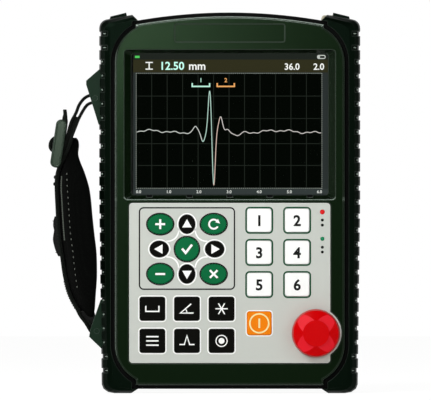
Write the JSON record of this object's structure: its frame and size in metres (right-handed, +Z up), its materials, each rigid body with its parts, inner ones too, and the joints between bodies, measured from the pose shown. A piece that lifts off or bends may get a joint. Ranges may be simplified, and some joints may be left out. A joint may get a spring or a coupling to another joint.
{
  "type": "ultrasonic thickness gauge",
  "caption": "Hand-held ultrasonic thickness gauge with a framed screen, keypad, turning knob, rubber side grips, padded hand strap, probe sockets and a fold-out rear stand.",
  "frame": {"origin": "on the standing plane at the feet, on the housing's middle plane and midway between the face and the back", "axes": "+Z up when it stands on its feet, front towards -Y, +X to the viewer's right"},
  "size_m": [0.1904, 0.0617, 0.2325],
  "materials": {
    "housing_green": "textured moulding",
    "seal_black": "matt",
    "grip_rubber": "satin moulded rubber",
    "window_clear": "clear, polished",
    "screen": "dark screen",
    "board_green": "solder mask",
    "black_plastic": "fine texture",
    "panel_grey": "satin printed film",
    "silicone": "matt",
    "lamp_red": "polished",
    "lamp_green": "polished",
    "steel": "satin",
    "knob_red": "polished moulding",
    "battery_wrap": "shrink film",
    "socket_brass": "machined",
    "nut_nickel": "satin plating",
    "lug_green": "fine texture",
    "strap_pad": "padded woven nylon",
    "strap_webbing": "woven nylon webbing",
    "buckle_green": "polished moulding",
    "key_green": "satin cap",
    "key_black": "satin cap",
    "key_white": "satin cap",
    "key_orange": "satin cap"
  },
  "bodies": {
    "housing": {"front_housing": "housing_green", "seal_frame": "seal_black", "rear_housing": "housing_green", "left_grip": "grip_rubber", "right_grip": "grip_rubber", "window_gasket": "seal_black", "display_window": "window_clear", "lcd_module": "screen", "main_board": "board_green", "buzzer": "black_plastic", "keypad_panel": "panel_grey", "keypad_mat": "silicone", "key_switch_board": "board_green", "red_led": "lamp_red", "green_led": "lamp_green", "rotary_encoder": "steel", "encoder_nut": "steel", "battery_pack": "battery_wrap", "battery_door": "housing_green", "battery_door_screws": "steel", "housing_screws": "steel", "stand_pins": "steel", "front_probe_socket": "socket_brass", "rear_probe_socket": "socket_brass", "socket_nuts": "nut_nickel", "charging_port": "black_plastic", "port_cover": "seal_black", "top_lug": "lug_green", "bottom_lug": "lug_green", "lug_pins": "steel", "strap_pad": "strap_pad", "strap_webbing": "strap_webbing", "strap_tab": "strap_webbing", "strap_buckle": "buckle_green"},
    "knob": {"control_knob": "knob_red", "encoder_shaft": "steel"},
    "stand": {"tilt_stand": "black_plastic"},
    "gain_up_key": {"gain_up_key": "key_green"},
    "auto_gain_key": {"auto_gain_key": "key_green"},
    "gain_down_key": {"gain_down_key": "key_green"},
    "cancel_key": {"cancel_key": "key_green"},
    "enter_key": {"enter_key": "key_green"},
    "up_key": {"up_key": "key_black"},
    "down_key": {"down_key": "key_black"},
    "left_key": {"left_key": "key_black"},
    "right_key": {"right_key": "key_black"},
    "gate_key": {"gate_key": "key_black"},
    "angle_key": {"angle_key": "key_black"},
    "freeze_key": {"freeze_key": "key_black"},
    "menu_key": {"menu_key": "key_black"},
    "peak_key": {"peak_key": "key_black"},
    "record_key": {"record_key": "key_black"},
    "soft_key_1": {"soft_key_1": "key_white"},
    "soft_key_2": {"soft_key_2": "key_white"},
    "soft_key_3": {"soft_key_3": "key_white"},
    "soft_key_4": {"soft_key_4": "key_white"},
    "soft_key_5": {"soft_key_5": "key_white"},
    "soft_key_6": {"soft_key_6": "key_white"},
    "power_key": {"power_key": "key_orange"}
  },
  "joints": [
    {"name": "gain_up_key_press", "type": "slide", "parent": "housing", "child": "gain_up_key", "axis": [0, 1, 0], "range_m": [0, 0.0008], "stiffness_N_per_m": 2500},
    {"name": "auto_gain_key_press", "type": "slide", "parent": "housing", "child": "auto_gain_key", "axis": [0, 1, 0], "range_m": [0, 0.0008], "stiffness_N_per_m": 2500},
    {"name": "gain_down_key_press", "type": "slide", "parent": "housing", "child": "gain_down_key", "axis": [0, 1, 0], "range_m": [0, 0.0008], "stiffness_N_per_m": 2500},
    {"name": "cancel_key_press", "type": "slide", "parent": "housing", "child": "cancel_key", "axis": [0, 1, 0], "range_m": [0, 0.0008], "stiffness_N_per_m": 2500},
    {"name": "enter_key_press", "type": "slide", "parent": "housing", "child": "enter_key", "axis": [0, 1, 0], "range_m": [0, 0.0008], "stiffness_N_per_m": 2500},
    {"name": "up_key_press", "type": "slide", "parent": "housing", "child": "up_key", "axis": [0, 1, 0], "range_m": [0, 0.0008], "stiffness_N_per_m": 2500},
    {"name": "down_key_press", "type": "slide", "parent": "housing", "child": "down_key", "axis": [0, 1, 0], "range_m": [0, 0.0008], "stiffness_N_per_m": 2500},
    {"name": "left_key_press", "type": "slide", "parent": "housing", "child": "left_key", "axis": [0, 1, 0], "range_m": [0, 0.0008], "stiffness_N_per_m": 2500},
    {"name": "right_key_press", "type": "slide", "parent": "housing", "child": "right_key", "axis": [0, 1, 0], "range_m": [0, 0.0008], "stiffness_N_per_m": 2500},
    {"name": "gate_key_press", "type": "slide", "parent": "housing", "child": "gate_key", "axis": [0, 1, 0], "range_m": [0, 0.0008], "stiffness_N_per_m": 2500},
    {"name": "angle_key_press", "type": "slide", "parent": "housing", "child": "angle_key", "axis": [0, 1, 0], "range_m": [0, 0.0008], "stiffness_N_per_m": 2500},
    {"name": "freeze_key_press", "type": "slide", "parent": "housing", "child": "freeze_key", "axis": [0, 1, 0], "range_m": [0, 0.0008], "stiffness_N_per_m": 2500},
    {"name": "menu_key_press", "type": "slide", "parent": "housing", "child": "menu_key", "axis": [0, 1, 0], "range_m": [0, 0.0008], "stiffness_N_per_m": 2500},
    {"name": "peak_key_press", "type": "slide", "parent": "housing", "child": "peak_key", "axis": [0, 1, 0], "range_m": [0, 0.0008], "stiffness_N_per_m": 2500},
    {"name": "record_key_press", "type": "slide", "parent": "housing", "child": "record_key", "axis": [0, 1, 0], "range_m": [0, 0.0008], "stiffness_N_per_m": 2500},
    {"name": "soft_key_1_press", "type": "slide", "parent": "housing", "child": "soft_key_1", "axis": [0, 1, 0], "range_m": [0, 0.0008], "stiffness_N_per_m": 2500},
    {"name": "soft_key_2_press", "type": "slide", "parent": "housing", "child": "soft_key_2", "axis": [0, 1, 0], "range_m": [0, 0.0008], "stiffness_N_per_m": 2500},
    {"name": "soft_key_3_press", "type": "slide", "parent": "housing", "child": "soft_key_3", "axis": [0, 1, 0], "range_m": [0, 0.0008], "stiffness_N_per_m": 2500},
    {"name": "soft_key_4_press", "type": "slide", "parent": "housing", "child": "soft_key_4", "axis": [0, 1, 0], "range_m": [0, 0.0008], "stiffness_N_per_m": 2500},
    {"name": "soft_key_5_press", "type": "slide", "parent": "housing", "child": "soft_key_5", "axis": [0, 1, 0], "range_m": [0, 0.0008], "stiffness_N_per_m": 2500},
    {"name": "soft_key_6_press", "type": "slide", "parent": "housing", "child": "soft_key_6", "axis": [0, 1, 0], "range_m": [0, 0.0008], "stiffness_N_per_m": 2500},
    {"name": "power_key_press", "type": "slide", "parent": "housing", "child": "power_key", "axis": [0, 1, 0], "range_m": [0, 0.0008], "stiffness_N_per_m": 2500},
    {"name": "knob_turn", "type": "hinge", "parent": "housing", "child": "knob", "pos_m": [0.05255, -0.0258, 0.0368], "axis": [0, -1, 0], "continuous": true},
    {"name": "stand_swing", "type": "hinge", "parent": "housing", "child": "stand", "pos_m": [0, 0.023, 0.10505], "axis": [1, 0, 0], "range_deg": [0, 55]}
  ]
}
